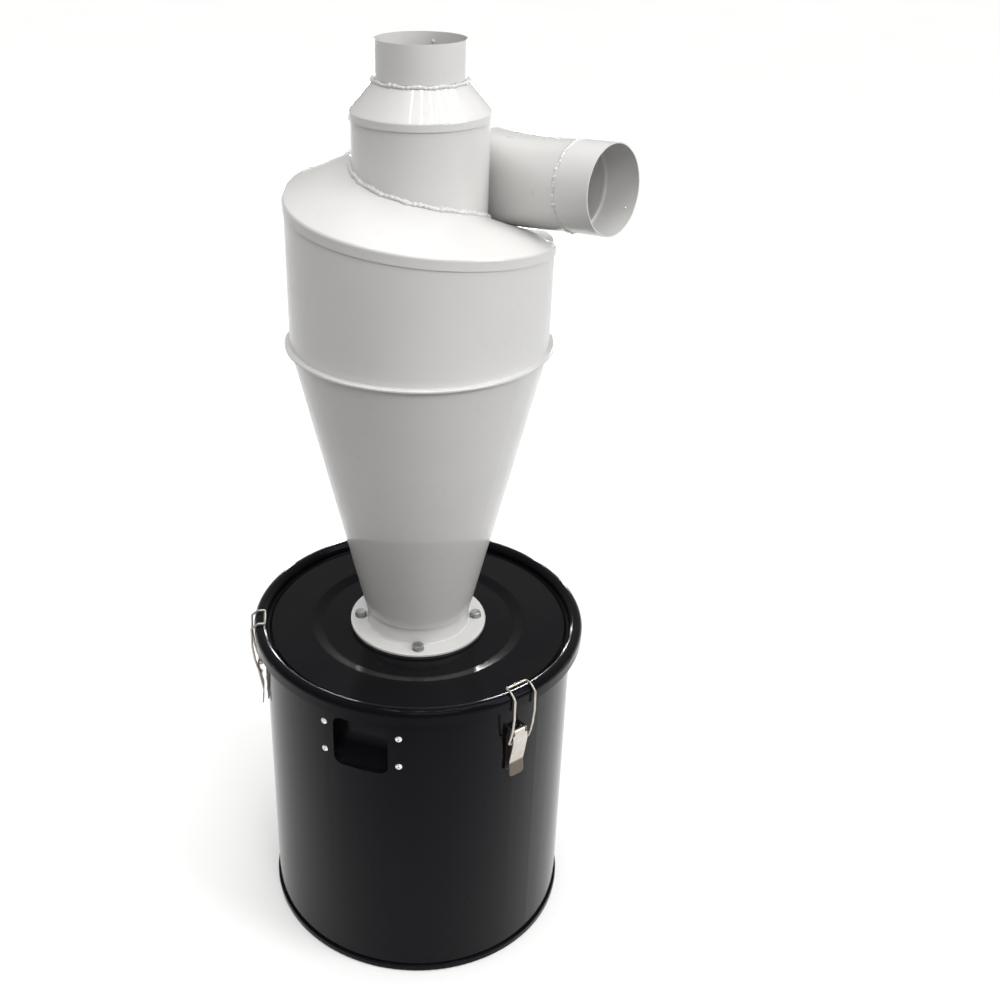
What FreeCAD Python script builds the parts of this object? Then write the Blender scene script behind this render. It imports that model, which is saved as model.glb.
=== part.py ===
import FreeCAD, Part
import math
import os

# Cyclone dust collector: a white sheet-steel cyclone separator bolted to the lid of a black steel drum.
# Millimetres, +Z up. The origin is on the floor on the cyclone's axis, and +X is the way the inlet pipe
# points in plan. Angles are in degrees about +Z, counted from +X.

V = FreeCAD.Vector
ORIGIN = V(0, 0, 0)
UP = V(0, 0, 1)

# ---- driving dimensions: drum ----
DRUM_R = 200.0              # outside radius of the drum body
DRUM_WALL = 1.0
DRUM_CURL_R = 3.5           # rolled top edge
DRUM_CURL_Z = 427.5         # height of the centre of that roll
CHIME_R = 203.0             # rolled foot ring
CHIME_H = 9.0
CHIME_ROUND = 1.4
BOTTOM_Z = 7.0              # underside of the bottom sheet
BOTTOM_T = 1.2
BOTTOM_BEND_R = 3.0
BOTTOM_SKIRT_Z = 1.0        # lower edge of the bottom's turned-down skirt

# ---- driving dimensions: hand pockets in the drum wall ----
POCKET_ANGLES = {"front": -68.5, "rear": 168.0}
POCKET_W = 71.0
POCKET_Z0 = 334.0
POCKET_Z1 = 404.0
POCKET_DEPTH = 26.0
POCKET_CORNER = 11.0
POCKET_T = 1.0
POCKET_RIVET_Y = 48.5       # sideways distance of the rivets from the pocket's centre line
POCKET_RIVET_Z = 21.0       # rivets sit this far above and below the pocket's middle
POCKET_FLOOR_BEND = 0.55    # the curved floor meets the flat back this far up the pocket
POCKET_RIVET = dict(head_r=4.2, head_h=1.5, hole_r=1.1, shank_r=2.0, tail_r=3.1, tail_h=2.0)
FLANGE_MARGIN_Y = 21.0      # the pocket's hidden flange reaches this far past its opening
FLANGE_MARGIN_Z = 9.0

# ---- driving dimensions: lid ----
LID_R = 213.5
LID_T = 1.2
LID_FLAT_Z = 430.0          # top of the outer flat
LID_CENTRE_Z = 426.0        # top of the sunk centre
LID_STEP_OUT = 138.5        # the pressed step runs between these radii
LID_STEP_IN = 124.5
LID_CHANNEL_Z = 426.8
LID_CHANNEL_IN = 190.5
LID_CHANNEL_OUT = 197.3     # the plug wall, just inside the drum
LID_BEAD_Z = 432.5          # centre height of the rolled bead
LID_SKIRT_Z = 421.0
LID_HOLE_R = 64.5
LID_SEAL_R = (201.0, 209.0)     # the foam ring inside the bead
LID_SEAL_Z = (431.4, 437.6)
GASKET_T = 3.0

# ---- driving dimensions: cyclone ----
BARREL_R = 150.0
SHEET = 1.5
STUB_R = 66.0
FLANGE_R = 88.0
FLANGE_T = 4.0
BOLT_CIRCLE_R = 75.0
BOLT_ANGLES = [-48.0 + 90.0 * k for k in range(4)]
BOLT_R = 4.0                # M8
BOLT_HOLE_R = 4.3
BOLT_FLATS = 13.0
BOLT_HEAD_H = 5.3
BOLT_END_Z = 414.0
WASHER_R = 7.6
WASHER_T = 1.6
NUT_H = 6.5
STUB_WELD = 1.2
CONE_Z0 = 457.0
CONE_R0 = 68.0
MID_FLANGE_Z = 816.0
MID_FLANGE_R = 156.0
MID_FLANGE_T = 4.0
NECK_R = 75.0
NECK_TOP_Z = 1072.0
FINDER_Z = 890.0            # lower end of the vortex finder, below the inlet
REDUCER_TOP_Z = 1107.0
REDUCER_Z = 1077.0          # where the reducer's cone turns down into its lip
REDUCER_LIP_Z = 1069.0
REDUCER_T = 2.0
REDUCER_TOP_R = 50.6
SLIP = 0.05                 # gap where one tube slips over another
OUTLET_R = 49.0
OUTLET_T = 1.2
OUTLET_TOP_Z = 1149.0
OUTLET_WELD_R = 2.0
OUTLET_WELD_PROUD = 0.8
OUTLET_WELD_TOP_Z = 1109.4
OUTLET_FREE_GAP = 0.4       # between the weld and the full-size wall
OUTLET_INSET = 4.0          # how far the pipe reaches down inside the reducer

# ---- driving dimensions: spiral roof ----
ROOF_START = 90.0           # the roof starts high over the inlet and winds down anticlockwise
ROOF_RIM_Z = 1027.0
ROOF_PITCH = 102.0
ROOF_CROWN = 30.0           # the neck side stands this much above the rim
ROOF_CROWN_END = 8.0
ROOF_FLATTEN = 330.0        # from this angle the crown dies away towards the end
ROOF_ROLL = 4.0
ROOF_BAND_R = 151.4
ROOF_BAND_H = 13.0
ROOF_T = 1.2
ROOF_STATIONS = 30
BARREL_TRIM_DROP = 6.0      # the barrel's top edge lies this far below the rim
BARREL_TRIM_R = (140.0, 160.0)
BARREL_TRIM_TOP = 1200.0
NECK_CUT = (850.0, 400.0)   # foot and height of the cutter that clears the neck
NECK_WELD_END = 396.0
NECK_WELD_LEG = 3.4
NECK_WELD_GAP = 0.1         # the bead stands this far off the roof and the neck

# ---- driving dimensions: inlet ----
INLET_Y = 101.0
INLET_Z = 991.0
INLET_TILT = 4.2
INLET_R = 49.0
INLET_JOINT_X = 138.0
INLET_MOUTH_X = 184.0
SLEEVE_L = 4.0
WELD_R = 1.7
WELD_PROUD = 0.2            # the bead's centre line lies this far outside the pipe
PIPE_NECKED_L = 4.0         # each round pipe is drawn in a little over this length at its welded end
PIPE_NECKED_BY = 0.8
INLET_BOX_Y = (77.0, 149.6)
INLET_BOX_Z = (941.5, 1040.0)
INLET_SQUARENESS = 3.6      # superellipse exponent of the box end; a circle is 2
INLET_STATIONS = 6
SECTION_POINTS = 32

# ---- driving dimensions: latches ----
LATCH_ANGLES = [-12.0, 108.0, 228.0]
LATCH_HINGE = (8.0, 380.0)      # outward from the drum wall, and height
LATCH_PIVOT = (8.8, 365.5)      # where the wire bail enters the lever
LATCH_PIN_R = 1.9
LATCH_RUN = 0.05
BASE_HALF_W = 12.0
BASE_T = 1.5
BASE_Z = (319.0, 378.0)
EAR_Y = (8.1, 10.6)
EAR_R = 3.7
ROLL_HALF_W = 7.7           # the lever's rolled eye, between the base's ears
LEVER_T = 1.2
LEVER_HALF_W = 11.0
LEVER_ROLL_R = 3.3
LEVER_OUTLINE = [(12.6, 366.5), (6.8, 333.0), (8.8, 312.0)]
TAB_R = 3.4
WIRE_R = 1.5
BAIL_HALF_W = 15.5
BAIL_END_Y = 9.1
BAIL_SIDE = [(12.6, 378.5), (15.0, 390.0), (17.2, 410.0), (16.6, 437.0), (8.0, 443.4), (-1.0, 443.2)]
LATCH_RIVET_Z = [329.0, 347.0]
LATCH_RIVET = dict(head_r=3.4, head_h=1.2, hole_r=0.9, shank_r=1.6, tail_r=2.6, tail_h=1.6)

parts = {}


# ---- small helpers ----
def line(a, b):
    return Part.LineSegment(a, b).toShape()


def flat(r, z):
    return V(r, 0, z)


def revolved(face):
    return face.revolve(ORIGIN, UP, 360)


def polygon_face(points):
    return Part.Face(Part.makePolygon(points + [points[0]]))


def tube(r_out, r_in, z0, z1):
    outer = Part.makeCylinder(r_out, z1 - z0, V(0, 0, z0))
    inner = Part.makeCylinder(r_in, z1 - z0, V(0, 0, z0))
    return outer.cut(inner)


def torus(r, z, rod):
    return Part.makeTorus(r, rod, V(0, 0, z))


def turned(shape, angle):
    copy = shape.copy()
    copy.rotate(ORIGIN, UP, angle)
    return copy


def rounded_path(points, radii):
    """A wire through points, each inner corner rounded by a tangent arc."""
    edges = []
    start = points[0]
    for before, corner, after, radius in zip(points, points[1:], points[2:], radii):
        back = (before - corner).normalize()
        ahead = (after - corner).normalize()
        half = back.getAngle(ahead) / 2
        reach = radius / math.tan(half)
        arc_in = corner + back * reach
        arc_out = corner + ahead * reach
        bisector = (back + ahead).normalize()
        middle = corner + bisector * (radius / math.sin(half) - radius)
        edges.append(line(start, arc_in))
        edges.append(Part.Arc(arc_in, middle, arc_out).toShape())
        start = arc_out
    edges.append(line(start, points[-1]))
    return Part.Wire(edges)


def bent_rod(points, radii, rod_r):
    path = rounded_path(points, radii)
    section = Part.Wire(Part.makeCircle(rod_r, points[0], points[1] - points[0]))
    return path.makePipeShell([section], True, True)


def hexagon(across_flats, z, height, centre):
    corner_r = across_flats / math.sqrt(3)
    corners = []
    for k in range(6):
        a = math.radians(60 * k)
        corners.append(V(corner_r * math.cos(a), corner_r * math.sin(a), z) + centre)
    return polygon_face(corners).extrude(V(0, 0, height))


def on_circle(radius, angle, z=0.0):
    a = math.radians(angle)
    return V(radius * math.cos(a), radius * math.sin(a), z)


def radial(shape, angle):
    """Place a shape drawn with x outward from the drum wall."""
    copy = shape.copy()
    copy.translate(V(DRUM_R, 0, 0))
    return turned(copy, angle)


def side_plate(points, y0, y1):
    """A plate drawn in the outward/up plane and as wide as y0 to y1."""
    face = polygon_face([V(x, y0, z) for x, z in points])
    return face.extrude(V(0, y1 - y0, 0))


def cross_pin(centre, radius, y0, y1):
    return Part.makeCylinder(radius, y1 - y0, V(centre[0], y0, centre[1]), V(0, 1, 0))


# ---- drum ----
def rivet(grip, head_r, head_h, hole_r, shank_r, tail_r, tail_h):
    """A blind rivet on the x axis: domed head at x > 0, shank through the sheets, set tail behind."""
    end = -grip - tail_h
    dome = Part.Arc(flat(hole_r, head_h), flat(head_r * 0.72, head_h * 0.8), flat(head_r, 0)).toShape()
    corners = [
        flat(head_r, 0),
        flat(shank_r, 0),
        flat(shank_r, -grip),
        flat(tail_r, -grip),
        flat(tail_r, end),
        flat(hole_r, end),
        flat(hole_r, head_h),
    ]
    edges = [dome] + [line(a, b) for a, b in zip(corners, corners[1:])]
    solid = revolved(Part.Face(Part.Wire(edges)))
    solid.rotate(ORIGIN, V(0, 1, 0), 90)
    return solid


def pocket_profile(grow):
    """The scoop in section: a curved floor running up to a flat back, open at the drum wall."""
    outside = 6.0
    lip = -2.0
    z0 = POCKET_Z0 - grow
    z1 = POCKET_Z1 + grow
    back = -POCKET_DEPTH - grow
    bend = flat(back, POCKET_Z0 + POCKET_FLOOR_BEND * (POCKET_Z1 - POCKET_Z0))
    floor = Part.Arc(flat(lip, z0), flat(0.75 * back, z0 + 14.0), bend).toShape()
    corners = [bend, flat(back, z1), flat(outside, z1), flat(outside, z0), flat(lip, z0)]
    edges = [floor] + [line(a, b) for a, b in zip(corners, corners[1:])]
    return Part.Face(Part.Wire(edges))


def pocket_hollow(grow):
    half = POCKET_W / 2 + grow
    body = pocket_profile(grow)
    body.translate(V(0, -half, 0))
    body = body.extrude(V(0, 2 * half, 0))
    window = Part.makeBox(60, 2 * half, POCKET_Z1 - POCKET_Z0 + 2 * grow, V(-50, -half, POCKET_Z0 - grow))
    upright = [e for e in window.Edges if abs(e.tangentAt(e.FirstParameter).x) > 0.99]
    window = window.makeFillet(POCKET_CORNER + grow, upright)
    return body.common(window)


def pocket_rivet_places(angle):
    swing = math.degrees(math.asin(POCKET_RIVET_Y / DRUM_R))
    middle = (POCKET_Z0 + POCKET_Z1) / 2
    for side in (-1, 1):
        for level in (-1, 1):
            yield angle + side * swing, middle + level * POCKET_RIVET_Z


def pocket_rivets(angle):
    solids = []
    for place, z in pocket_rivet_places(angle):
        one = rivet(DRUM_WALL + POCKET_T + SLIP, **POCKET_RIVET)
        one.translate(V(0, 0, z))
        solids.append(radial(one, place))
    return solids


def rivet_hole(size, angle, z):
    return radial(Part.makeCylinder(size["shank_r"], 12, V(-6, 0, z), V(1, 0, 0)), angle)


def grip_pocket(angle):
    inside = Part.makeCylinder(DRUM_R - DRUM_WALL, POCKET_Z1 * 2)
    inside.translate(V(-DRUM_R, 0, 0))
    pan = pocket_hollow(POCKET_T).common(inside)
    half = POCKET_W / 2 + FLANGE_MARGIN_Y
    height = POCKET_Z1 - POCKET_Z0 + 2 * FLANGE_MARGIN_Z
    plate = Part.makeBox(60, 2 * half, height, V(-50, -half, POCKET_Z0 - FLANGE_MARGIN_Z))
    skin = tube(DRUM_R - DRUM_WALL, DRUM_R - DRUM_WALL - POCKET_T, 0, POCKET_Z1 * 2)
    skin.translate(V(-DRUM_R, 0, 0))
    shape = pan.fuse(plate.common(skin)).cut(pocket_hollow(0))
    shape = radial(shape.removeSplitter(), angle)
    for place, z in pocket_rivet_places(angle):
        shape = shape.cut(rivet_hole(POCKET_RIVET, place, z))
    return shape


def drum_shell():
    wall = tube(DRUM_R, DRUM_R - DRUM_WALL, CHIME_H, DRUM_CURL_Z)
    curl = torus(DRUM_R + DRUM_CURL_R - DRUM_WALL, DRUM_CURL_Z, DRUM_CURL_R)
    core = torus(DRUM_R + DRUM_CURL_R - DRUM_WALL, DRUM_CURL_Z, DRUM_CURL_R - DRUM_WALL)
    shape = wall.fuse(curl.cut(core))
    for angle in POCKET_ANGLES.values():
        shape = shape.cut(radial(pocket_hollow(0), angle))
        for place, z in pocket_rivet_places(angle):
            shape = shape.cut(rivet_hole(POCKET_RIVET, place, z))
    for angle in LATCH_ANGLES:
        for z in LATCH_RIVET_Z:
            shape = shape.cut(rivet_hole(LATCH_RIVET, angle, z))
    return shape


def drum_bottom():
    skirt_r = DRUM_R - DRUM_WALL
    top = BOTTOM_Z + BOTTOM_T
    path = rounded_path([flat(0, top), flat(skirt_r, top), flat(skirt_r, BOTTOM_SKIRT_Z)], [BOTTOM_BEND_R])
    return revolved(path.makeOffset2D(-BOTTOM_T, fill=True, openResult=True))


def outer_rims(ring, radius):
    return [e for e in ring.Edges if e.Closed and e.BoundBox.XMax > radius - 0.1]


def bottom_chime():
    ring = tube(CHIME_R, DRUM_R - DRUM_WALL, 0, CHIME_H)
    return ring.makeFillet(CHIME_ROUND, outer_rims(ring, CHIME_R))


# ---- lid ----
def lid_panel():
    bead_r = (LID_CHANNEL_OUT + LID_R) / 2
    bead_w = (LID_R - LID_CHANNEL_OUT) / 2
    inner = [
        flat(LID_HOLE_R, LID_CENTRE_Z),
        flat(LID_STEP_IN, LID_CENTRE_Z),
        flat(LID_STEP_OUT, LID_FLAT_Z),
        flat(LID_CHANNEL_IN, LID_FLAT_Z),
        flat(LID_CHANNEL_IN + 3.0, LID_CHANNEL_Z),
        flat(LID_CHANNEL_OUT, LID_CHANNEL_Z),
        flat(LID_CHANNEL_OUT, LID_BEAD_Z),
    ]
    edges = rounded_path(inner, [8.0, 8.0, 1.6, 1.4, 1.6]).Edges
    edges.append(Part.Arc(inner[-1], flat(bead_r, LID_BEAD_Z + bead_w), flat(LID_R, LID_BEAD_Z)).toShape())
    edges.append(line(flat(LID_R, LID_BEAD_Z), flat(LID_R, LID_SKIRT_Z)))
    sheet = Part.Wire(edges).makeOffset2D(-LID_T, fill=True, openResult=True)
    return drilled(revolved(sheet), LID_CENTRE_Z - LID_T, LID_T)


def lid_gasket():
    return tube(LID_SEAL_R[1], LID_SEAL_R[0], *LID_SEAL_Z)


# ---- cyclone: flange, stub, cone, barrel ----
def bolt_holes(z0, height):
    places = [on_circle(BOLT_CIRCLE_R, a, z0 - 1) for a in BOLT_ANGLES]
    return [Part.makeCylinder(BOLT_HOLE_R, height + 2, place) for place in places]


def drilled(shape, z0, height):
    for hole in bolt_holes(z0, height):
        shape = shape.cut(hole)
    return shape


def flange_gasket():
    z0 = LID_CENTRE_Z
    return drilled(tube(FLANGE_R, LID_HOLE_R, z0, z0 + GASKET_T), z0, GASKET_T)


def base_flange():
    z0 = LID_CENTRE_Z + GASKET_T
    ring = tube(FLANGE_R, STUB_R, z0, z0 + FLANGE_T)
    return drilled(ring.makeFillet(0.8, outer_rims(ring, FLANGE_R)), z0, FLANGE_T)


def dust_outlet_stub():
    return tube(STUB_R, STUB_R - SHEET, LID_CENTRE_Z + GASKET_T, CONE_Z0 + 2.0)


def cone():
    outline = [
        flat(CONE_R0, CONE_Z0),
        flat(BARREL_R, MID_FLANGE_Z),
        flat(BARREL_R - SHEET, MID_FLANGE_Z),
        flat(CONE_R0 - SHEET, CONE_Z0),
    ]
    return revolved(polygon_face(outline))


def mid_flange():
    ring = tube(MID_FLANGE_R, BARREL_R - SHEET, MID_FLANGE_Z, MID_FLANGE_Z + MID_FLANGE_T)
    return ring.makeFillet(1.2, outer_rims(ring, MID_FLANGE_R))


def rim_z(angle):
    return ROOF_RIM_Z - ROOF_PITCH * (angle - ROOF_START) / 360


def crown(angle):
    late = max(0.0, angle - ROOF_FLATTEN) / (ROOF_START + 360 - ROOF_FLATTEN)
    return ROOF_CROWN - (ROOF_CROWN - ROOF_CROWN_END) * late ** 2


def neck_line_z(angle):
    return rim_z(angle) + crown(angle)


def roof_angles():
    return [ROOF_START + 0.5 + 359.0 * k / ROOF_STATIONS for k in range(ROOF_STATIONS + 1)]


def roof_section(angle):
    """Closed section of the roof sheet: crown at the neck, rolled edge, band over the barrel."""
    z = rim_z(angle)
    top = neck_line_z(angle)
    slope = math.atan2(crown(angle), BARREL_R - NECK_R)
    turn = math.pi / 2 - slope
    reach = ROOF_ROLL * math.tan(turn / 2)
    corner_z = z - (ROOF_BAND_R - BARREL_R) * math.tan(slope)

    def arc(radius, edge_r, edge_z):
        back = radius * math.tan(turn / 2)
        start = (edge_r - back * math.cos(slope), edge_z + back * math.sin(slope))
        end = (edge_r, edge_z - back)
        cx = edge_r - radius
        cz = edge_z - back
        mid_a = turn / 2
        mid = (cx + radius * math.cos(mid_a), cz + radius * math.sin(mid_a))
        return start, mid, end

    out_start, out_mid, out_end = arc(ROOF_ROLL, ROOF_BAND_R, corner_z)
    drop = ROOF_T / math.cos(slope)
    in_corner_z = corner_z - drop + ROOF_T * math.tan(slope)
    in_start, in_mid, in_end = arc(ROOF_ROLL - ROOF_T, ROOF_BAND_R - ROOF_T, in_corner_z)
    low = z - ROOF_BAND_H

    def p(rz):
        return on_circle(rz[0], angle, rz[1])

    neck_top = (NECK_R + SLIP, top)
    neck_low = (NECK_R + SLIP, top - drop)
    edges = [
        line(p(neck_top), p(out_start)),
        Part.Arc(p(out_start), p(out_mid), p(out_end)).toShape(),
        line(p(out_end), p((ROOF_BAND_R, low))),
        line(p((ROOF_BAND_R, low)), p((ROOF_BAND_R - ROOF_T, low))),
        line(p((ROOF_BAND_R - ROOF_T, low)), p(in_end)),
        Part.Arc(p(in_end), p(in_mid), p(in_start)).toShape(),
        line(p(in_start), p(neck_low)),
        line(p(neck_low), p(neck_top)),
    ]
    return Part.Wire(edges)


def spiral_roof():
    """The wound sheet, trimmed where its low end runs into the inlet duct."""
    sheet = Part.makeLoft([roof_section(a) for a in roof_angles()], True, False)
    trimmed = sheet.cut(inlet_duct(0.0))
    return max(trimmed.Solids, key=lambda solid: solid.Volume)


def above_roof(angles):
    """Everything over a line just below the rim, used to trim the barrel's top edge."""
    inner_r, outer_r = BARREL_TRIM_R
    sections = []
    for a in angles:
        z = rim_z(a) - BARREL_TRIM_DROP
        corners = [
            on_circle(inner_r, a, z),
            on_circle(outer_r, a, z),
            on_circle(outer_r, a, BARREL_TRIM_TOP),
            on_circle(inner_r, a, BARREL_TRIM_TOP),
        ]
        sections.append(Part.makePolygon(corners + [corners[0]]))
    return Part.makeLoft(sections, True, False)


def barrel():
    shape = tube(BARREL_R, BARREL_R - SHEET, MID_FLANGE_Z + MID_FLANGE_T, ROOF_RIM_Z + 20)
    angles = [ROOF_START + 360.0 * k / ROOF_STATIONS for k in range(ROOF_STATIONS + 1)]
    half = ROOF_STATIONS // 2
    shape = shape.cut(above_roof(angles[:half + 1]))
    return shape.cut(above_roof(angles[half:]))


def neck_core():
    foot, height = NECK_CUT
    return Part.makeCylinder(NECK_R, height, V(0, 0, foot))


def neck_tube():
    return tube(NECK_R, NECK_R - OUTLET_T, FINDER_Z, NECK_TOP_Z)


# ---- cyclone: inlet ----
def inlet_axis_z(x):
    return INLET_Z + x * math.tan(math.radians(INLET_TILT))


def inlet_section(x, shrink):
    """Section of the inlet duct: a rounded box at the volute, a circle square to the pipe at the joint."""
    t = x / INLET_JOINT_X
    ease = t * t * (3 - 2 * t)
    y0 = INLET_BOX_Y[0] + (INLET_Y - INLET_R - INLET_BOX_Y[0]) * t
    y1 = INLET_BOX_Y[1] + (INLET_Y + INLET_R - INLET_BOX_Y[1]) * ease
    z0 = INLET_BOX_Z[0] + (inlet_axis_z(x) - INLET_R - INLET_BOX_Z[0]) * t
    z1 = INLET_BOX_Z[1] + (inlet_axis_z(x) + INLET_R - INLET_BOX_Z[1]) * t
    half_y = (y1 - y0) / 2 - shrink
    half_z = (z1 - z0) / 2 - shrink
    power = 2.0 / (INLET_SQUARENESS + (2.0 - INLET_SQUARENESS) * ease)
    lean = math.radians(INLET_TILT * t)
    points = []
    for k in range(SECTION_POINTS):
        a = 2 * math.pi * (k + 0.5) / SECTION_POINTS
        c = math.cos(a)
        s = math.sin(a)
        y = math.copysign(abs(c) ** power, c) * half_y + (y0 + y1) / 2
        rise = math.copysign(abs(s) ** power, s) * half_z
        points.append(V(x - rise * math.sin(lean), y, (z0 + z1) / 2 + rise * math.cos(lean)))
    curve = Part.BSplineCurve()
    curve.interpolate(points, PeriodicFlag=True)
    return Part.Wire(curve.toShape())


def inlet_duct(shrink):
    stations = [INLET_JOINT_X * k / (INLET_STATIONS - 1) for k in range(INLET_STATIONS)]
    return Part.makeLoft([inlet_section(x, shrink) for x in stations], True, False)


def inlet_transition():
    shape = inlet_duct(0.0).cut(inlet_duct(SHEET))
    keep = Part.makeBox(200, 200, 300, V(SHEET, 0, 850))
    return shape.common(keep).cut(neck_core())


def inlet_frame(shape):
    """Place a shape drawn along +X from the pipe joint."""
    copy = shape.copy()
    copy.rotate(ORIGIN, V(0, 1, 0), -INLET_TILT)
    copy.translate(V(INLET_JOINT_X, INLET_Y, inlet_axis_z(INLET_JOINT_X)))
    return copy


def along_x(radius, x0, x1):
    return Part.makeCylinder(radius, x1 - x0, V(x0, 0, 0), V(1, 0, 0))


def necked_pipe(necked, length):
    """A round pipe up Z from the origin, drawn in over its first stretch at one sheet thickness."""
    end_r = OUTLET_R - PIPE_NECKED_BY
    profile = [
        (end_r, 0),
        (end_r, necked),
        (OUTLET_R, necked),
        (OUTLET_R, length),
        (OUTLET_R - OUTLET_T, length),
        (OUTLET_R - OUTLET_T, necked + OUTLET_T),
        (end_r - OUTLET_T, necked + OUTLET_T),
        (end_r - OUTLET_T, 0),
    ]
    return revolved(polygon_face([flat(r, z) for r, z in profile]))


def inlet_pipe():
    length = (INLET_MOUTH_X - INLET_JOINT_X) / math.cos(math.radians(INLET_TILT))
    pipe = necked_pipe(PIPE_NECKED_L - SLIP, length - SLIP)
    pipe.rotate(ORIGIN, V(0, 1, 0), 90)
    pipe.translate(V(SLIP, 0, 0))
    return inlet_frame(pipe)


def inlet_sleeve():
    """The narrow ring inside the joint that the weld is laid over."""
    outside = INLET_R - PIPE_NECKED_BY - OUTLET_T - SLIP
    return inlet_frame(along_x(outside, 0.2, SLEEVE_L).cut(along_x(outside - SHEET, 0, SLEEVE_L)))


def inlet_weld():
    ring = Part.makeTorus(INLET_R + WELD_PROUD, WELD_R, V(WELD_R + SLIP, 0, 0), V(1, 0, 0))
    return inlet_frame(ring.cut(along_x(INLET_R - PIPE_NECKED_BY, -5.0, 5.0)))


def inlet_end_plate(roof):
    """The upright plate where the roof's high end stands over its low end, with the duct's opening."""
    low = ROOF_START + 360
    corners = [
        V(0, NECK_R, neck_line_z(low) + 0.2),
        V(0, BARREL_R - SHEET, rim_z(low) + 0.2),
        V(0, BARREL_R - SHEET, rim_z(ROOF_START) - ROOF_ROLL),
        V(0, NECK_R, neck_line_z(ROOF_START) - 3.0),
    ]
    plate = polygon_face(corners).extrude(V(SHEET, 0, 0))
    opening = inlet_duct(SHEET)
    opening.translate(V(-0.01, 0, 0))
    return plate.cut(opening).cut(neck_core()).cut(roof)


# ---- cyclone: top ----
def reducer():
    skirt_r = NECK_R + SLIP + REDUCER_T
    path = rounded_path([flat(skirt_r, REDUCER_LIP_Z), flat(skirt_r, REDUCER_Z),
                         flat(REDUCER_TOP_R, REDUCER_TOP_Z)], [2.5])
    return revolved(path.makeOffset2D(REDUCER_T, fill=True, openResult=True))


def outlet_pipe():
    foot = REDUCER_TOP_Z - OUTLET_INSET
    free = OUTLET_WELD_TOP_Z + OUTLET_FREE_GAP
    pipe = necked_pipe(free - foot, OUTLET_TOP_Z - foot)
    pipe.translate(V(0, 0, foot))
    return pipe


def outlet_weld():
    ring = torus(OUTLET_R + OUTLET_WELD_PROUD, OUTLET_WELD_TOP_Z - OUTLET_WELD_R, OUTLET_WELD_R)
    return ring.cut(Part.makeCylinder(OUTLET_R - PIPE_NECKED_BY, 200, V(0, 0, 1000))).cut(reducer())


def neck_weld():
    """A fillet bead that follows the roof's line round the neck."""
    sections = []
    for a in roof_angles():
        if a > NECK_WELD_END:
            break
        fall = crown(a) / (BARREL_R - NECK_R)
        inner_r = NECK_R + SLIP + NECK_WELD_GAP
        z = neck_line_z(a) + NECK_WELD_GAP
        corners = [
            on_circle(inner_r, a, z),
            on_circle(inner_r, a, z + NECK_WELD_LEG),
            on_circle(inner_r + NECK_WELD_LEG, a, z - fall * NECK_WELD_LEG),
        ]
        sections.append(Part.makePolygon(corners + [corners[0]]))
    return Part.makeLoft(sections, True, False)


def stub_weld():
    z = LID_CENTRE_Z + GASKET_T + FLANGE_T
    corners = [flat(STUB_R, z), flat(STUB_R + STUB_WELD, z), flat(STUB_R, z + STUB_WELD)]
    return revolved(polygon_face(corners))


# ---- fasteners ----
def bolt(centre, z):
    """Hexagon head with its top edge turned off, on a plain shank."""
    waist = Part.makeCylinder(0.7 * BOLT_FLATS, 0.6 * BOLT_HEAD_H, V(0, 0, z) + centre)
    top = Part.makeCone(0.7 * BOLT_FLATS, 0.46 * BOLT_FLATS, 0.4 * BOLT_HEAD_H,
                        V(0, 0, z + 0.6 * BOLT_HEAD_H) + centre)
    head = hexagon(BOLT_FLATS, z, BOLT_HEAD_H, centre).common(waist.fuse(top))
    shank = Part.makeCylinder(BOLT_R, z - BOLT_END_Z, V(0, 0, BOLT_END_Z) + centre)
    return head.fuse(shank).removeSplitter()


def flange_bolts():
    z = LID_CENTRE_Z + GASKET_T + FLANGE_T + WASHER_T
    return Part.makeCompound([bolt(on_circle(BOLT_CIRCLE_R, a), z) for a in BOLT_ANGLES])


def flange_washers():
    z = LID_CENTRE_Z + GASKET_T + FLANGE_T
    one = tube(WASHER_R, BOLT_R + SLIP, z, z + WASHER_T)
    one.translate(on_circle(BOLT_CIRCLE_R, 0))
    return Part.makeCompound([turned(one, a) for a in BOLT_ANGLES])


def flange_nuts():
    z = LID_CENTRE_Z - LID_T - NUT_H
    one = hexagon(BOLT_FLATS, z, NUT_H, ORIGIN).cut(Part.makeCylinder(BOLT_R + SLIP, NUT_H, V(0, 0, z)))
    one.translate(on_circle(BOLT_CIRCLE_R, 0))
    return Part.makeCompound([turned(one, a) for a in BOLT_ANGLES])


# ---- latches, drawn with x outward from the drum wall ----
def latch_rivets():
    solids = []
    for z in LATCH_RIVET_Z:
        one = rivet(BASE_T + DRUM_WALL + SLIP, **LATCH_RIVET)
        one.translate(V(BASE_T, 0, z))
        solids.append(one)
    return solids


def latch_base():
    z0, z1 = BASE_Z
    plate = Part.makeBox(BASE_T, 2 * BASE_HALF_W, z1 - z0, V(0, -BASE_HALF_W, z0))
    corners = [e for e in plate.Edges if abs(e.tangentAt(e.FirstParameter).x) > 0.99]
    shape = plate.makeFillet(4.0, corners)
    hx, hz = LATCH_HINGE
    for y0 in (EAR_Y[0], -EAR_Y[1]):
        y1 = y0 + EAR_Y[1] - EAR_Y[0]
        ring = cross_pin(LATCH_HINGE, EAR_R, y0, y1)
        riser = Part.makeBox(BASE_T, y1 - y0, hz + EAR_R - z1 + 6, V(0, y0, z1 - 6))
        strap = Part.makeBox(hx, y1 - y0, BASE_T, V(0, y0, hz + EAR_R - BASE_T))
        shape = shape.fuse(ring).fuse(riser).fuse(strap)
    shape = shape.cut(cross_pin(LATCH_HINGE, LATCH_PIN_R, -20, 20)).removeSplitter()
    for z in LATCH_RIVET_Z:
        shape = shape.cut(Part.makeCylinder(LATCH_RIVET["shank_r"], 12, V(-6, 0, z), V(1, 0, 0)))
    return shape


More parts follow.
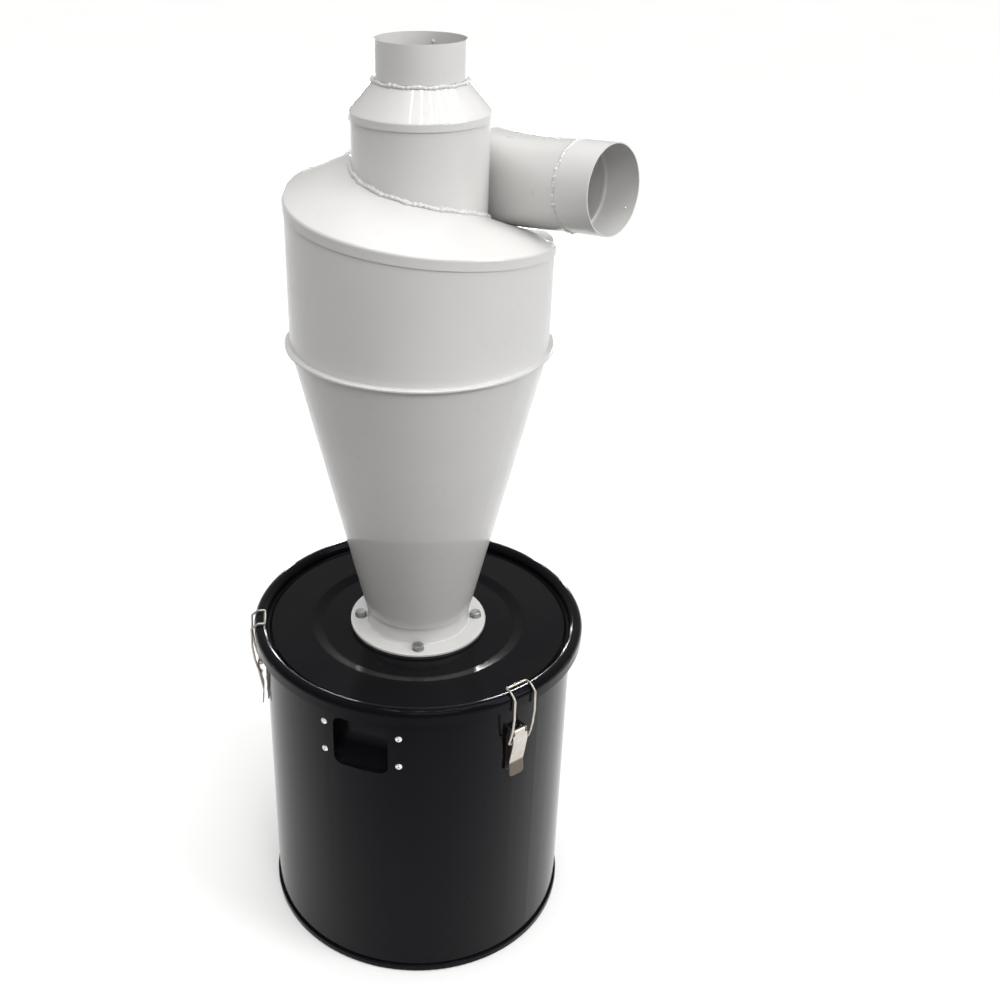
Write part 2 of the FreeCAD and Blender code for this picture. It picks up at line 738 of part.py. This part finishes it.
def latch_pin():
    return cross_pin(LATCH_HINGE, LATCH_PIN_R, -EAR_Y[1] - 0.6, EAR_Y[1] + 0.6)


def latch_lever():
    hx, hz = LATCH_HINGE
    top = (hx + LEVER_ROLL_R, hz)
    outline = [V(x, -LEVER_HALF_W, z) for x, z in [top] + LEVER_OUTLINE]
    path = rounded_path(outline, [8.0, 6.0])
    strip = path.makeOffset2D(LEVER_T, fill=True, openResult=True)
    if strip.BoundBox.XMax > outline[1].x + 0.2:
        strip = path.makeOffset2D(-LEVER_T, fill=True, openResult=True)
    plate = strip.extrude(V(0, 2 * LEVER_HALF_W, 0))
    toe_z = outline[-1].z + 1.0
    low_edges = [e for e in plate.Edges if e.BoundBox.ZMax < toe_z]
    toe = [e for e in low_edges if e.BoundBox.YLength < 0.01 and e.Length < 2 * LEVER_T]
    plate = plate.makeFillet(4.5, toe)
    for y0 in (ROLL_HALF_W, -LEVER_HALF_W - 1):
        y1 = y0 + LEVER_HALF_W + 1 - ROLL_HALF_W
        plate = plate.cut(cross_pin(LATCH_HINGE, EAR_R + 1.2, y0, y1))
    roll = cross_pin(LATCH_HINGE, LEVER_ROLL_R, -ROLL_HALF_W, ROLL_HALF_W)
    shape = plate.fuse(roll)
    px, pz = LATCH_PIVOT
    for y0 in (LEVER_HALF_W - LEVER_T, -LEVER_HALF_W):
        y1 = y0 + LEVER_T
        eye = cross_pin(LATCH_PIVOT, TAB_R, y0, y1)
        web = side_plate([(px, pz + TAB_R), (12.0, 369.5), (11.4, 362.0), (px, pz - TAB_R)], y0, y1)
        shape = shape.fuse(eye).fuse(web)
    shape = shape.cut(cross_pin(LATCH_HINGE, LATCH_PIN_R + LATCH_RUN, -20, 20))
    shape = shape.cut(cross_pin(LATCH_PIVOT, WIRE_R + LATCH_RUN, -20, 20))
    return shape.removeSplitter()


def latch_bail():
    px, pz = LATCH_PIVOT
    right = [V(px, BAIL_END_Y, pz), V(px, BAIL_HALF_W, pz)]
    right += [V(x, BAIL_HALF_W, z) for x, z in BAIL_SIDE]
    left = [V(p.x, -p.y, p.z) for p in reversed(right)]
    corner = 2.6
    bends = [corner, 6.0, 30.0, 30.0, 5.0, 5.0, corner]
    return bent_rod(right + left, bends + bends[::-1], WIRE_R)


# ---- assembly ----
def build_drum():
    for name, angle in POCKET_ANGLES.items():
        parts["pocket_rivets_" + name] = Part.makeCompound(pocket_rivets(angle))
        parts["grip_pocket_" + name] = grip_pocket(angle)
    for k, angle in enumerate(LATCH_ANGLES, start=1):
        parts["latch_base_%d" % k] = radial(latch_base(), angle)
        parts["latch_pin_%d" % k] = radial(latch_pin(), angle)
        parts["latch_lever_%d" % k] = radial(latch_lever(), angle)
        parts["latch_bail_%d" % k] = radial(latch_bail(), angle)
        parts["latch_rivets_%d" % k] = Part.makeCompound([radial(one, angle) for one in latch_rivets()])
    parts["drum_shell"] = drum_shell()
    parts["drum_bottom"] = drum_bottom()
    parts["bottom_chime"] = bottom_chime()


def build_lid():
    parts["lid_panel"] = lid_panel()
    parts["lid_gasket"] = lid_gasket()
    parts["flange_gasket"] = flange_gasket()
    parts["base_flange"] = base_flange()
    parts["flange_bolts"] = flange_bolts()
    parts["flange_washers"] = flange_washers()
    parts["flange_nuts"] = flange_nuts()
    parts["stub_weld"] = stub_weld()
    parts["dust_outlet_stub"] = dust_outlet_stub()
    parts["cone"] = cone()
    parts["mid_flange"] = mid_flange()
    parts["barrel"] = barrel()
    parts["spiral_roof"] = spiral_roof()
    parts["inlet_end_plate"] = inlet_end_plate(parts["spiral_roof"])
    parts["inlet_transition"] = inlet_transition()
    parts["inlet_pipe"] = inlet_pipe()
    parts["inlet_sleeve"] = inlet_sleeve()
    parts["inlet_weld"] = inlet_weld()
    parts["neck_tube"] = neck_tube()
    parts["neck_weld"] = neck_weld()
    parts["reducer"] = reducer()
    parts["outlet_pipe"] = outlet_pipe()
    parts["outlet_weld"] = outlet_weld()


build_drum()
build_lid()
os.makedirs("parts", exist_ok=True)
for name, shape in parts.items():
    box = shape.BoundBox
    print("%-22s %-9s solids %d  valid %s  volume %.0f  z %.1f..%.1f" %
          (name, shape.ShapeType, len(shape.Solids), shape.isValid(), shape.Volume, box.ZMin, box.ZMax))
    shape.exportStep("parts/%s.step" % name)
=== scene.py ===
import math
import random

import bmesh
import bpy
from mathutils import Matrix, Vector


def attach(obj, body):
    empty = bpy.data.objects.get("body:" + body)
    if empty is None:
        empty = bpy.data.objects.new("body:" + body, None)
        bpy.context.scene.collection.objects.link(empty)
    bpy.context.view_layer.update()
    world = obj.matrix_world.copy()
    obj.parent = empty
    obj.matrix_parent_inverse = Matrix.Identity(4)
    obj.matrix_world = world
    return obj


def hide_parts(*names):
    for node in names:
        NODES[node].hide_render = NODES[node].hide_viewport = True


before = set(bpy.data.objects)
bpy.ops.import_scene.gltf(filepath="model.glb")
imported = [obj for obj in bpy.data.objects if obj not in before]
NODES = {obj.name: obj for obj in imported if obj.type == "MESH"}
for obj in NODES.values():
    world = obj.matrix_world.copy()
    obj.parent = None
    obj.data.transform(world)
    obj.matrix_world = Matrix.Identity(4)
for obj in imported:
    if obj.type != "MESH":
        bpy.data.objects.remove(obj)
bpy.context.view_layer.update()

# Looks for the cyclone dust collector: a white powder-coated cyclone on a black drum with wire latches.
# Metres, in the CAD frame: +Z up, the cyclone's axis on Z, the inlet pipe along +X.

# ---- sizes repeated from the CAD model, in metres, with the roof's angles in degrees ----
NECK_R = 0.075
OUTLET_R = 0.049            # both round pipes
OUTLET_WELD_Z = 1.1076
ROOF_START = 90.0
ROOF_RIM_Z = 1.027
ROOF_PITCH = 0.102
ROOF_CROWN = 0.030
ROOF_CROWN_END = 0.008
ROOF_FLATTEN = 330.0
NECK_WELD_START = ROOF_START + 2
NECK_WELD_END = 396.0
INLET_TILT = math.radians(4.2)
INLET_TURN = Matrix.Rotation(-INLET_TILT, 3, "Y")
INLET_JOINT = Vector((0.138, 0.101, 0.991 + 0.138 * math.tan(INLET_TILT)))
INLET_WELD_X = 0.0019       # the bead's centre, along the pipe from the joint
STUB_R = 0.066
FLANGE_TOP_Z = 0.433
LEVER_TOE_Z = 0.333         # where a lever's toe is bent over

# ---- weld beads ----
BEAD_SIDES = 12
BEAD_STEP = 0.42            # from ring to ring, as a share of the bead's radius
BEAD_END = 0.45             # what is left of an open bead's size in its end rings
LUMP_SPACING = 0.011
LUMP_REACH = 6              # rings on either side that one lump can swell
RIPPLE = 0.13               # this, SWELL, SWAY and WOBBLE are shares of the bead's radius
RIPPLE_TURN = 1.05          # radians from ring to ring
RIPPLE_SHIFT = 0.8          # radians, at most
RIPPLE_HOLD = 7             # rings that share one shift
SWELL = 0.10
SWAY = 0.28
SWAY_TURN = 0.21            # radians from ring to ring
WOBBLE = 0.10
NECK_BEAD_LENGTH = 0.43
NECK_BEAD_OUT = 0.0012      # how far a bead's centre stands out from its pipe, and up from what it lies on
NECK_BEAD_UP = 0.0004
OUTLET_BEAD_OUT = 0.0012
INLET_BEAD_SUNK = 0.0007
STUB_BEAD_OUT = 0.0003

# ---- nibs of dried paint ----
NIB_SIDES = 16
NIB_RINGS = 5
NIB_UNEVEN = 0.12
NIB_STRETCH = 1.3
OUTLET_NIB_WALL = 0.0478    # from a pipe's axis to the foot of a nib in it
OUTLET_NIB_ANGLE = 116.0
OUTLET_NIB_Z = 1.139
MOUTH_NIB_WALL = 0.0477
MOUTH_NIBS = ((0.030, 20.0), (0.024, -8.0), (0.035, -35.0))     # along the pipe, and degrees round it

# ---- surroundings ----
FLOOR_HALF = 80.0
FLOOR_DROP = 0.0005
BACKDROP_R = 40.0
BACKDROP_H = 60.0
BACKDROP_SIDES = 96
TUBES = 6                   # ceiling tubes, which light only reflections
TUBE_FIRST_X = -0.35
TUBE_STEP = 0.38
TUBE_Y = -0.1
TUBE_Z = 2.75
GLINTS = 6                  # low lamps behind, for the lid's pressed step, which light only reflections
GLINT_FIRST_X = -0.9
GLINT_STEP = 0.42
GLINT_Y = 2.6
GLINT_Z = 0.75
OVERHEAD_STRENGTH = 2.0
OVERHEAD_ANGLE = math.radians(60)
ROOM_BELOW = 0.08           # how bright the room is seen downwards, and upwards
ROOM_ABOVE = 0.55
ROOM_COLOUR = (1.0, 0.99, 0.97, 1.0)

# ---- camera ----
CAMERA_AZIMUTH = 42.0
CAMERA_DISTANCE = 1.3464    # from the cyclone's axis, level
CAMERA_Z = 1.339
CAMERA_DIP = 0.499          # radians below level
CAMERA_ROLL = 0.0048
CAMERA_LENS = 44.38
CAMERA_SHIFT_X = 0.0813


# ---- shader helpers ----
class Shader:
    """One node material, with short calls for the nodes that every finish here uses."""

    def __init__(self, name):
        self.material = bpy.data.materials.new(name)
        self.material.use_nodes = True
        self.nodes = self.material.node_tree.nodes
        self.links = self.material.node_tree.links
        self.bsdf = self.nodes["Principled BSDF"]
        self.coords = self.nodes.new("ShaderNodeTexCoord").outputs["Object"]

    def set(self, **values):
        for key, value in values.items():
            self.bsdf.inputs[key.replace("_", " ")].default_value = value

    def link(self, source, target):
        self.links.new(source, target)

    def stretched(self, scale):
        mapping = self.nodes.new("ShaderNodeMapping")
        mapping.inputs["Scale"].default_value = scale
        self.link(self.coords, mapping.inputs["Vector"])
        return mapping.outputs["Vector"]

    def noise(self, scale, detail=3.0, rough=0.5, vector=None, distortion=0.0):
        node = self.nodes.new("ShaderNodeTexNoise")
        node.inputs["Scale"].default_value = scale
        node.inputs["Detail"].default_value = detail
        node.inputs["Roughness"].default_value = rough
        node.inputs["Distortion"].default_value = distortion
        self.link(vector or self.coords, node.inputs["Vector"])
        return node.outputs["Fac"]

    def specks(self, scale, size, soft=0.04):
        """White dots scattered one to a cell, of the given size as a share of the cell."""
        node = self.nodes.new("ShaderNodeTexVoronoi")
        node.inputs["Scale"].default_value = scale
        self.link(self.coords, node.inputs["Vector"])
        return self.ramp(node.outputs["Distance"], size, size + soft, (1, 1, 1), (0, 0, 0))

    def ramp(self, value, low, high, first, last):
        node = self.nodes.new("ShaderNodeValToRGB")
        for stop, place, colour in zip(node.color_ramp.elements, (low, high), (first, last)):
            stop.position = place
            stop.color = (*colour, 1.0)
        self.link(value, node.inputs["Fac"])
        return node.outputs["Color"]

    def mix(self, factor, first, last):
        node = self.nodes.new("ShaderNodeMix")
        node.data_type = "RGBA"
        for socket, value in ((node.inputs[0], factor), (node.inputs[6], first), (node.inputs[7], last)):
            if isinstance(value, bpy.types.NodeSocket):
                self.link(value, socket)
            elif isinstance(value, tuple):
                socket.default_value = (*value, 1.0)
            else:
                socket.default_value = value
        return node.outputs[2]

    def scaled(self, value, low, high):
        node = self.nodes.new("ShaderNodeMapRange")
        node.inputs["To Min"].default_value = low
        node.inputs["To Max"].default_value = high
        self.link(value, node.inputs["Value"])
        return node.outputs["Result"]

    def height(self):
        node = self.nodes.new("ShaderNodeSeparateXYZ")
        self.link(self.coords, node.inputs["Vector"])
        return node.outputs["Z"]

    def between(self, value, low, high):
        """0 below low, 1 above high, smooth between."""
        node = self.nodes.new("ShaderNodeMapRange")
        node.interpolation_type = "SMOOTHSTEP"
        node.inputs["From Min"].default_value = low
        node.inputs["From Max"].default_value = high
        self.link(value, node.inputs["Value"])
        return node.outputs["Result"]

    def bump(self, height, strength, distance, under=None):
        node = self.nodes.new("ShaderNodeBump")
        node.inputs["Strength"].default_value = strength
        node.inputs["Distance"].default_value = distance
        self.link(height, node.inputs["Height"])
        if under:
            self.link(under, node.inputs["Normal"])
        return node.outputs["Normal"]

    def colour(self, output):
        self.link(output, self.bsdf.inputs["Base Color"])

    def rough(self, output):
        self.link(output, self.bsdf.inputs["Roughness"])

    def normal(self, output):
        self.link(output, self.bsdf.inputs["Normal"])


# ---- finishes ----
def powder_coat(name, light, shade, rough_low, rough_high, lumps=0.0):
    """Gloss white powder coat: orange peel, broad faint tone changes, dust nibs and, over a weld, lumps."""
    s = Shader(name)
    tone = s.ramp(s.noise(7.0, 4.0), 0.35, 0.65, shade, light)
    grime = s.ramp(s.noise(55.0, 6.0, 0.65), 0.60, 0.85, (0, 0, 0), (1, 1, 1))
    s.colour(s.mix(grime, tone, tuple(0.94 * c for c in shade)))
    s.rough(s.scaled(s.noise(30.0, 3.0), rough_low, rough_high))
    peel = s.bump(s.noise(420.0, 2.0), 0.06, 0.0004)
    nibs = s.bump(s.specks(130.0, 0.02), 0.35, 0.00015, under=peel)
    if lumps:
        nibs = s.bump(s.noise(620.0, 4.0, 0.6), lumps, 0.0008, under=nibs)
    s.normal(nibs)
    s.link(peel, s.bsdf.inputs["Coat Normal"])
    s.set(Specular_IOR_Level=0.3, Coat_Weight=0.55, Coat_Roughness=0.03)
    return s.material


def black_gloss(name):
    """Black stove enamel: soft orange peel, faint wipe marks and a little settled dust."""
    s = Shader(name)
    smear = s.noise(9.0, 5.0, 0.6, s.stretched((1.0, 1.0, 0.25)), 0.6)
    base = s.ramp(smear, 0.3, 0.8, (0.0035, 0.0035, 0.0045), (0.0060, 0.0060, 0.0068))
    dust = s.specks(210.0, 0.035, 0.03)
    s.colour(s.mix(s.scaled(dust, 0.0, 0.12), base, (0.16, 0.16, 0.16)))
    s.rough(s.scaled(smear, 0.09, 0.18))
    s.normal(s.bump(s.noise(300.0, 2.0), 0.08, 0.0005))
    s.set(Specular_IOR_Level=0.2, Specular_Tint=(0.16, 0.16, 0.22, 1.0))
    return s.material


def nickel(name, tone, toe_z=None):
    """Nickel-plated spring steel: fine rolling lines and, when toe_z is given, a darker brown colour below
    that height, over the bent toe.
    """
    s = Shader(name)
    grain = s.noise(900.0, 3.0, 0.6, s.stretched((1.0, 1.0, 0.06)))
    blotch = s.noise(140.0, 4.0)
    base = s.ramp(blotch, 0.35, 0.7, tuple(0.86 * c for c in tone), tone)
    if toe_z:
        base = s.mix(s.between(s.height(), toe_z - 0.003, toe_z + 0.002), (0.13, 0.108, 0.09), base)
    s.colour(base)
    s.rough(s.scaled(grain, 0.28, 0.46))
    s.normal(s.bump(grain, 0.08, 0.0001))
    s.set(Metallic=1.0)
    return s.material


def zinc(name):
    s = Shader(name)
    spangle = s.noise(260.0, 2.0, 0.5)
    s.colour(s.ramp(spangle, 0.35, 0.7, (0.30, 0.30, 0.29), (0.45, 0.455, 0.46)))
    s.rough(s.scaled(s.noise(700.0, 3.0), 0.30, 0.50))
    s.normal(s.bump(s.noise(1200.0, 3.0), 0.10, 0.0001))
    s.set(Metallic=1.0)
    return s.material


def aluminium(name):
    s = Shader(name)
    s.colour(s.ramp(s.noise(500.0, 3.0), 0.3, 0.7, (0.66, 0.67, 0.68), (0.84, 0.85, 0.86)))
    s.rough(s.scaled(s.noise(900.0, 2.0), 0.26, 0.42))
    s.normal(s.bump(s.noise(1500.0, 2.0), 0.08, 0.0001))
    s.set(Metallic=1.0)
    return s.material


def rubber(name):
    s = Shader(name)
    s.colour(s.ramp(s.noise(90.0, 4.0), 0.3, 0.7, (0.012, 0.012, 0.012), (0.028, 0.028, 0.027)))
    s.rough(s.scaled(s.noise(60.0, 3.0), 0.68, 0.88))
    s.normal(s.bump(s.noise(1400.0, 2.0), 0.25, 0.0003))
    return s.material


WHITE = powder_coat("white_powder_coat", (0.665, 0.66, 0.65), (0.635, 0.63, 0.62), 0.24, 0.38)
WELD = powder_coat("white_over_weld", (0.68, 0.675, 0.665), (0.62, 0.615, 0.605), 0.32, 0.45, lumps=0.7)
BLACK = black_gloss("black_enamel")
LEVER = nickel("nickel_lever", (0.56, 0.52, 0.48), toe_z=LEVER_TOE_Z)
WIRE = nickel("nickel_wire", (0.50, 0.47, 0.42))
# Latch plate: partly dark plating, partly a painted reflection, since its nickel is darkened to stand for
# the black drum reflected in it.
PLATE_WITH_PAINTED_REFLECTION = nickel("latch_plate_painted_reflection", (0.17, 0.155, 0.14))
ZINC = zinc("zinc_plate")
ALU = aluminium("rivet_aluminium")
RUBBER = rubber("black_rubber")


def finish_for(node):
    if node in ("lid_panel", "drum_shell", "drum_bottom", "bottom_chime") or node.startswith("grip_pocket"):
        return BLACK
    if "gasket" in node:
        return RUBBER
    if "rivets" in node:
        return ALU
    if node in ("flange_bolts", "flange_washers", "flange_nuts"):
        return ZINC
    if node.startswith("latch_lever"):
        return LEVER
    if node.startswith(("latch_bail", "latch_pin")):
        return WIRE
    if node.startswith("latch_base"):
        return PLATE_WITH_PAINTED_REFLECTION
    return WHITE


def paint_cad():
    for name, obj in NODES.items():
        obj.data.materials.clear()
        obj.data.materials.append(finish_for(name))


# ---- mesh helpers ----
def linked(name, data):
    obj = bpy.data.objects.new(name, data)
    bpy.context.scene.collection.objects.link(obj)
    return obj


def add_piece(name, bm, material, body, replaced=()):
    mesh = bpy.data.meshes.new(name)
    bmesh.ops.recalc_face_normals(bm, faces=bm.faces)
    bm.to_mesh(mesh)
    bm.free()
    for face in mesh.polygons:
        face.use_smooth = True
    mesh.materials.append(material)
    obj = linked(name, mesh)
    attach(obj, body)
    if replaced:
        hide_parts(*replaced)
    return obj


def polar(radius, angle, z):
    a = math.radians(angle)
    return Vector((radius * math.cos(a), radius * math.sin(a), z))


def bridge_rings(bm, rings, closed):
    count = len(rings[0])
    pairs = list(zip(rings, rings[1:]))
    if closed:
        pairs.append((rings[-1], rings[0]))
    for one, two in pairs:
        for k in range(count):
            j = (k + 1) % count
            bm.faces.new((one[k], one[j], two[j], two[k]))
    if not closed:
        bm.faces.new(rings[0])
        bm.faces.new(list(reversed(rings[-1])))


def weld_bead(name, centre_at, length, radius, seed, closed, lumpiness, replaced):
    """A hand-run weld bead: a swept ring whose size wanders, with overlapping ripples and odd lumps.

    centre_at(t) gives the centre, outward and along directions at t from 0 to 1."""
    rng = random.Random(seed)
    count = int(length / (radius * BEAD_STEP))
    swell = [rng.uniform(-1, 1) for _ in range(count + 1)]
    lumps = [0.0] * count
    for _ in range(int(length / LUMP_SPACING)):
        at = rng.randrange(count)
        high = rng.uniform(0.15, 0.6) * lumpiness
        wide = rng.uniform(1.2, 3.0)
        for k in range(-LUMP_REACH, LUMP_REACH + 1):
            if closed or 0 <= at + k < count:
                lumps[(at + k) % count] += high * math.exp(-(k / wide) ** 2)
    bm = bmesh.new()
    rings = []
    for i in range(count):
        centre, outward, along = centre_at(i / count if closed else i / (count - 1))
        side = along.cross(outward).normalized()
        held = swell[i // RIPPLE_HOLD * RIPPLE_HOLD % count]
        ripple = RIPPLE * math.sin(i * RIPPLE_TURN + RIPPLE_SHIFT * held)
        size = radius * (1.0 + ripple + lumps[i] + SWELL * swell[i])
        shift = side * radius * SWAY * math.sin(i * SWAY_TURN + seed) * lumpiness
        if not closed and i in (0, count - 1):
            size *= BEAD_END
        ring = []
        for k in range(BEAD_SIDES):
            a = 2 * math.pi * k / BEAD_SIDES
            wobble = 1.0 + WOBBLE * lumpiness * rng.uniform(-1, 1)
            spoke = outward * math.cos(a) + side * math.sin(a)
            ring.append(bm.verts.new(centre + shift + spoke * size * wobble))
        rings.append(ring)
    bridge_rings(bm, rings, closed)
    obj = add_piece(name, bm, WELD, "lid", replaced=replaced)
    sub = obj.modifiers.new("soften", "SUBSURF")
    sub.levels = 1
    sub.render_levels = 1


# ---- welds ----
def rim_z(angle):
    return ROOF_RIM_Z - ROOF_PITCH * (angle - ROOF_START) / 360


def neck_line_z(angle):
    late = max(0.0, angle - ROOF_FLATTEN) / (ROOF_START + 360 - ROOF_FLATTEN)
    return rim_z(angle) + ROOF_CROWN - (ROOF_CROWN - ROOF_CROWN_END) * late ** 2


def level_ring(radius, z, lean):
    """The path of a bead that runs level round the axis, leaning up from its pipe."""
    def at(t):
        angle = 360 * t
        return polar(radius, angle, z), polar(1, angle, lean).normalized(), polar(1, angle + 90, 0)
    return at


def inlet_spoke(angle):
    """A unit vector square to the inlet pipe."""
    return INLET_TURN @ Vector((0, math.cos(angle), math.sin(angle)))


def neck_weld():
    def at(t):
        angle = NECK_WELD_START + (NECK_WELD_END - NECK_WELD_START) * t
        centre = polar(NECK_R + NECK_BEAD_OUT, angle, neck_line_z(angle) + NECK_BEAD_UP)
        return centre, polar(1, angle, 0.35).normalized(), polar(1, angle + 90, -0.2)
    weld_bead("neck_weld_bead", at, length=NECK_BEAD_LENGTH, radius=0.0025, seed=5, closed=False,
              lumpiness=0.8, replaced=["neck_weld"])


def outlet_weld():
    path = level_ring(OUTLET_R + OUTLET_BEAD_OUT, OUTLET_WELD_Z, lean=0.5)
    weld_bead("outlet_weld_bead", path, length=2 * math.pi * OUTLET_R, radius=0.0021, seed=11, closed=True,
              lumpiness=0.8, replaced=["outlet_weld"])


def inlet_weld():
    ahead = INLET_TURN @ Vector((1, 0, 0))

    def at(t):
        a = 2 * math.pi * t
        outward = inlet_spoke(a)
        along = INLET_TURN @ Vector((0, -math.sin(a), math.cos(a)))
        centre = INLET_JOINT + ahead * INLET_WELD_X + outward * (OUTLET_R - INLET_BEAD_SUNK)
        return centre, outward, along
    weld_bead("inlet_weld_bead", at, length=2 * math.pi * OUTLET_R, radius=0.0018, seed=23, closed=True,
              lumpiness=0.9, replaced=["inlet_weld"])


def stub_weld():
    path = level_ring(STUB_R + STUB_BEAD_OUT, FLANGE_TOP_Z + STUB_BEAD_OUT, lean=0.8)
    weld_bead("stub_weld_bead", path, length=2 * math.pi * STUB_R, radius=0.0012, seed=31, closed=True,
              lumpiness=0.7, replaced=["stub_weld"])


# ---- paint nibs ----
def paint_nib(name, centre, normal, radius, height, seed):
    """A small lopsided dome of dried paint standing on a wall."""
    rng = random.Random(seed)
    across = normal.cross(Vector((0, 0, 1))).normalized()
    up = across.cross(normal).normalized()
    bm = bmesh.new()
    rings = []
    for i in range(NIB_RINGS):
        a = math.pi / 2 * i / NIB_RINGS
        ring = []
        for k in range(NIB_SIDES):
            b = 2 * math.pi * k / NIB_SIDES
            size = radius * math.cos(a) * (1 + NIB_UNEVEN * rng.uniform(-1, 1))
            place = centre + normal * height * math.sin(a)
            ring.append(bm.verts.new(place + across * size * math.cos(b)
                                     + up * size * NIB_STRETCH * math.sin(b)))
        rings.append(ring)
    bridge_rings(bm, rings, False)
    add_piece(name, bm, WELD, "lid")


def outlet_nib():
    foot = polar(OUTLET_NIB_WALL, OUTLET_NIB_ANGLE, OUTLET_NIB_Z)
    paint_nib("outlet_paint_nib", foot, -polar(1, OUTLET_NIB_ANGLE, 0), radius=0.0017, height=0.0013, seed=3)


def mouth_nibs():
    """Three nibs inside the inlet's mouth, along its lit side."""
    for k, (along, around) in enumerate(MOUTH_NIBS):
        outward = inlet_spoke(math.radians(around))
        foot = INLET_JOINT + INLET_TURN @ Vector((along, 0, 0)) + outward * MOUTH_NIB_WALL
        paint_nib("mouth_paint_nib_%d" % (k + 1), foot, -outward, radius=0.0011, height=0.0008, seed=7 + k)


# ---- floor, backdrop and light ----
def floor():
    """A pale floor that throws no light back on the object."""
    mesh = bpy.data.meshes.new("floor")
    corners = [(-FLOOR_HALF, -FLOOR_HALF, 0), (FLOOR_HALF, -FLOOR_HALF, 0),
               (FLOOR_HALF, FLOOR_HALF, 0), (-FLOOR_HALF, FLOOR_HALF, 0)]
    mesh.from_pydata(corners, [], [(0, 1, 2, 3)])
    s = Shader("pale_floor")
    s.colour(s.ramp(s.noise(1.5, 3.0), 0.3, 0.7, (0.92, 0.92, 0.92), (0.94, 0.94, 0.94)))
    s.set(Roughness=0.8, Specular_IOR_Level=0.2)
    mesh.materials.append(s.material)
    obj = linked("floor", mesh)
    obj.location.z = -FLOOR_DROP
    obj.visible_diffuse = False


def backdrop():
    """A plain white wall all round, far off, that only the camera sees: it casts no light or shadow."""
    bm = bmesh.new()
    low, high = [], []
    for k in range(BACKDROP_SIDES):
        a = 360 * k / BACKDROP_SIDES
        low.append(bm.verts.new(polar(BACKDROP_R, a, 0)))
        high.append(bm.verts.new(polar(BACKDROP_R, a, BACKDROP_H)))
    for k in range(BACKDROP_SIDES):
        j = (k + 1) % BACKDROP_SIDES
        bm.faces.new((low[k], low[j], high[j], high[k]))
    mesh = bpy.data.meshes.new("backdrop")
    bm.to_mesh(mesh)
    bm.free()
    s = Shader("white_backdrop")
    s.colour(s.ramp(s.noise(0.05, 2.0), 0.3, 0.7, (0, 0, 0), (0.01, 0.01, 0.01)))
    s.set(Specular_IOR_Level=0.0, Emission_Color=(1, 1, 1, 1), Emission_Strength=1.0)
    mesh.materials.append(s.material)
    obj = linked("backdrop", mesh)
    obj.visible_diffuse = False
    obj.visible_glossy = False
    obj.visible_shadow = False


def lamp(name, width, tall, power, place, aim):
    """A rectangular area light facing a point, placed as if the camera stood on the -Y side."""
    data = bpy.data.lights.new(name, "AREA")
    data.shape = "RECTANGLE"
    data.size = width
    data.size_y = tall
    data.energy = power
    obj = linked(name, data)
    turn = Matrix.Rotation(math.radians(CAMERA_AZIMUTH), 4, "Z")
    facing = (aim - place).to_track_quat("-Z", "Y").to_matrix().to_4x4()
    obj.matrix_world = turn @ Matrix.Translation(place) @ facing
    return obj


def overhead():
    """A very wide sun straight above, which lights the floor evenly out to the horizon."""
    data = bpy.data.lights.new("overhead", "SUN")
    data.energy = OVERHEAD_STRENGTH
    data.angle = OVERHEAD_ANGLE
    linked("overhead", data).visible_glossy = False


def lights():
    """A dim room, light from above, two broad lamps, a row of ceiling tubes and a row of low lamps."""
    overhead()
    lamp("front", width=1.5, tall=1.0, power=22, place=Vector((0.4, -2.2, 2.7)), aim=Vector((0, 0, 1.0)))
    lamp("side_right", width=1.0, tall=1.0, power=24, place=Vector((1.9, -0.9, 1.8)),
         aim=Vector((0.3, 0, 1.0)))
    for k in range(TUBES):
        x = TUBE_FIRST_X + TUBE_STEP * k
        tube = lamp("tube_%d" % k, width=0.032, tall=1.6, power=8, place=Vector((x, TUBE_Y, TUBE_Z)),
                    aim=Vector((x, TUBE_Y, 0)))
        tube.visible_diffuse = False
    for k in range(GLINTS):
        x = GLINT_FIRST_X + GLINT_STEP * k
        glint = lamp("glint_%d" % k, width=0.09, tall=0.35, power=7, place=Vector((x, GLINT_Y, GLINT_Z)),
                     aim=Vector((0, 0, 0.43)))
        glint.visible_diffuse = False
        glint.visible_camera = False
    room()


def room():
    """The surroundings: darker towards the ground than overhead."""
    world = bpy.data.worlds.new("studio")
    bpy.context.scene.world = world
    world.use_nodes = True
    nodes = world.node_tree.nodes
    link = world.node_tree.links.new
    split = nodes.new("ShaderNodeSeparateXYZ")
    link(nodes.new("ShaderNodeTexCoord").outputs["Generated"], split.inputs["Vector"])
    strength = nodes.new("ShaderNodeMapRange")
    strength.inputs["From Min"].default_value = -1.0
    strength.inputs["To Min"].default_value = ROOM_BELOW
    strength.inputs["To Max"].default_value = ROOM_ABOVE
    link(split.outputs["Z"], strength.inputs["Value"])
    background = nodes["Background"]
    background.inputs["Color"].default_value = ROOM_COLOUR
    link(strength.outputs["Result"], background.inputs["Strength"])


def camera():
    a = math.radians(CAMERA_AZIMUTH)
    data = bpy.data.cameras.new("camera")
    data.sensor_width = 36.0
    data.lens = CAMERA_LENS
    data.shift_x = CAMERA_SHIFT_X
    data.clip_start = 0.05
    data.clip_end = 50.0
    obj = linked("camera", data)
    turn = (Matrix.Rotation(a, 4, "Z") @ Matrix.Rotation(math.pi / 2 - CAMERA_DIP, 4, "X")
            @ Matrix.Rotation(CAMERA_ROLL, 4, "Z"))
    stand = (CAMERA_DISTANCE * math.sin(a), -CAMERA_DISTANCE * math.cos(a), CAMERA_Z)
    obj.matrix_world = Matrix.Translation(stand) @ turn
    bpy.context.scene.camera = obj


paint_cad()
neck_weld()
outlet_weld()
inlet_weld()
stub_weld()
outlet_nib()
mouth_nibs()
floor()
backdrop()
lights()
camera()
bpy.context.scene.view_settings.view_transform = "Standard"
